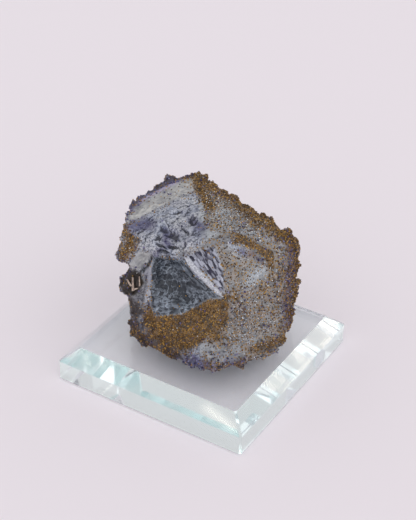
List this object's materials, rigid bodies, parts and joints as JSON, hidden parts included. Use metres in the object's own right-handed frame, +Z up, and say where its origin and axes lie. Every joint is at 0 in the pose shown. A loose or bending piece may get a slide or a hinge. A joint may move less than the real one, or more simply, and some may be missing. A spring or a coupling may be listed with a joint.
{
  "type": "fluorite specimen",
  "caption": "Rough drusy fluorite specimen with a broken glassy hollow, standing on a square bevelled glass display base.",
  "frame": {"origin": "centre of the glass base's underside, on the surface that it stands on", "axes": "+Z up; X and Y along the sides of the glass base; the specimen's hollow faces -Y and -X"},
  "size_m": [0.0762, 0.0762, 0.0622],
  "materials": {
    "fluorite": "rough drusy, glassy where broken",
    "clear_glass": "polished clear"
  },
  "bodies": {
    "root": {"fluorite_specimen": "fluorite", "glass_base": "clear_glass"}
  },
  "joints": []
}
